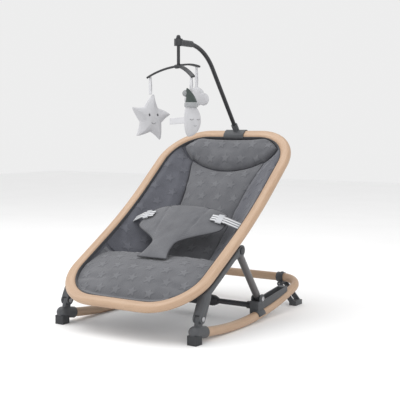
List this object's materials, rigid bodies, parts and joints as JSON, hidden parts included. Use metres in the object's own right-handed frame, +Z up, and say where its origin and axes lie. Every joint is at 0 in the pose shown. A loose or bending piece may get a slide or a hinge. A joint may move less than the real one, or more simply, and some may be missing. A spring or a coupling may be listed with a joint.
{
  "type": "bouncer seat",
  "caption": "Rocking baby bouncer with a padded cloth seat in a wood ring, folding legs and struts, flip-down rear stands and a toy mobile on a bow.",
  "frame": {"origin": "on the floor under the middle of the overall length and width", "axes": "+Z up, +Y from the foot end towards the head end, +X across the seat to the child's left"},
  "size_m": [0.4674, 0.6593, 0.791],
  "materials": {
    "wood": "satin",
    "moulding": "fine matte",
    "foot_rubber": "matte",
    "fastener": "zinc plated",
    "black_plastic": "satin",
    "black_steel": "satin powder coat",
    "strut_steel": "satin powder coat",
    "side_cloth": "melange weave",
    "seat_cloth": "melange weave with tone-on-tone stars",
    "webbing": "striped webbing",
    "buckle": "satin",
    "white_plush": "short pile",
    "ribbon": "satin",
    "cap_cloth": "jersey",
    "brim_cloth": "short pile"
  },
  "bodies": {
    "base": {"base_rod": "wood", "elbow_left": "moulding", "elbow_right": "moulding", "foot_left": "foot_rubber", "foot_right": "foot_rubber", "leg_pins": "fastener", "rail_left": "moulding", "rail_right": "moulding", "rail_screws": "fastener", "ear_bolts": "fastener", "crossbar": "black_steel", "stand_collar_left": "moulding", "stand_collar_right": "moulding", "stand_pins": "fastener"},
    "seat": {"ring": "wood", "leg_left": "moulding", "leg_right": "moulding", "hub_left": "moulding", "hub_right": "moulding", "hub_pins": "black_plastic", "seat_sling": "side_cloth", "seat_cushion": "seat_cloth", "back_pad": "seat_cloth", "bolster_left": "side_cloth", "bolster_right": "side_cloth", "head_pillow": "seat_cloth", "waist_panel": "side_cloth", "strap_left": "webbing", "strap_right": "webbing", "buckle_left": "buckle", "buckle_right": "buckle", "mobile_clamp": "moulding"},
    "struts": {"strut_left": "strut_steel", "strut_right": "strut_steel", "strut_foot_left": "black_plastic", "strut_foot_right": "black_plastic"},
    "grip": {"release_grip": "black_plastic"},
    "lock_left": {"lock_slide_left": "black_plastic"},
    "lock_right": {"lock_slide_right": "black_plastic"},
    "stand_left_body": {"stand_left": "moulding"},
    "stand_right_body": {"stand_right": "moulding"},
    "bow": {"mobile_bow": "black_plastic", "bow_tip": "black_plastic"},
    "hanger_body": {"hanger_post": "black_plastic", "hanger": "black_plastic"},
    "star": {"star_toy": "white_plush", "star_ribbon": "ribbon"},
    "moon": {"moon_toy": "white_plush", "moon_cap": "cap_cloth", "moon_brim": "brim_cloth", "moon_pompom": "brim_cloth", "moon_tag": "ribbon", "moon_ribbon": "ribbon"},
    "cloud": {"cloud_toy": "white_plush", "cloud_ribbon": "ribbon"}
  },
  "joints": [
    {"name": "seat_fold", "type": "hinge", "parent": "base", "child": "seat", "pos_m": [0, -0.25287, 0.062], "axis": [1, 0, 0], "range_deg": [-33, 0], "deforming": ["seat_sling", "seat_cushion", "back_pad", "bolster_left", "bolster_right", "head_pillow"]},
    {"name": "strut_swing", "type": "hinge", "parent": "seat", "child": "struts", "pos_m": [0, -0.05812, 0.21002], "axis": [1, 0, 0], "range_deg": [0, 84.2]},
    {"name": "grip_twist", "type": "hinge", "parent": "base", "child": "grip", "pos_m": [0, 0.05322, 0.04128], "axis": [1, 0, 0], "range_deg": [0, 35], "stiffness_Nm_per_rad": 0.4},
    {"name": "lock_left_slide", "type": "slide", "parent": "base", "child": "lock_left", "axis": [1, 0, 0], "range_m": [0, 0.0072]},
    {"name": "lock_right_slide", "type": "slide", "parent": "base", "child": "lock_right", "axis": [-1, 0, 0], "range_m": [0, 0.0072]},
    {"name": "stand_left_fold", "type": "hinge", "parent": "base", "child": "stand_left_body", "pos_m": [-0.152, 0.30923, 0.06235], "axis": [0, -1, 0], "range_deg": [0, 116]},
    {"name": "stand_right_fold", "type": "hinge", "parent": "base", "child": "stand_right_body", "pos_m": [0.152, 0.30923, 0.06235], "axis": [0, 1, 0], "range_deg": [0, 116]},
    {"name": "bow_swivel", "type": "hinge", "parent": "seat", "child": "bow", "pos_m": [0, 0.28359, 0.52938], "axis": [0, -0.6018, 0.7986], "range_deg": [-60, 60]},
    {"name": "hanger_spin", "type": "hinge", "parent": "bow", "child": "hanger_body", "pos_m": [0, -0.02641, 0.70839], "axis": [0, 0, 1], "continuous": true},
    {"name": "star_swing", "type": "hinge", "parent": "hanger_body", "child": "star", "pos_m": [-0.07349, -0.05826, 0.67957], "axis": [0.454, -0.891, 0], "range_deg": [-15, 15]},
    {"name": "moon_swing", "type": "hinge", "parent": "hanger_body", "child": "moon", "pos_m": [0.06918, -0.06548, 0.67763], "axis": [0.5446, 0.8387, 0], "range_deg": [-15, 15]},
    {"name": "cloud_swing", "type": "hinge", "parent": "hanger_body", "child": "cloud", "pos_m": [0.00432, 0.05748, 0.71058], "axis": [-0.9986, 0.0523, 0], "range_deg": [-15, 15]}
  ],
  "couplings": [
    {"joint": "strut_swing", "follows": "seat_fold", "ratio": -2.55},
    {"joint": "lock_left_slide", "follows": "grip_twist", "m_per_rad": 0.0114},
    {"joint": "lock_right_slide", "follows": "grip_twist", "m_per_rad": 0.0114}
  ]
}
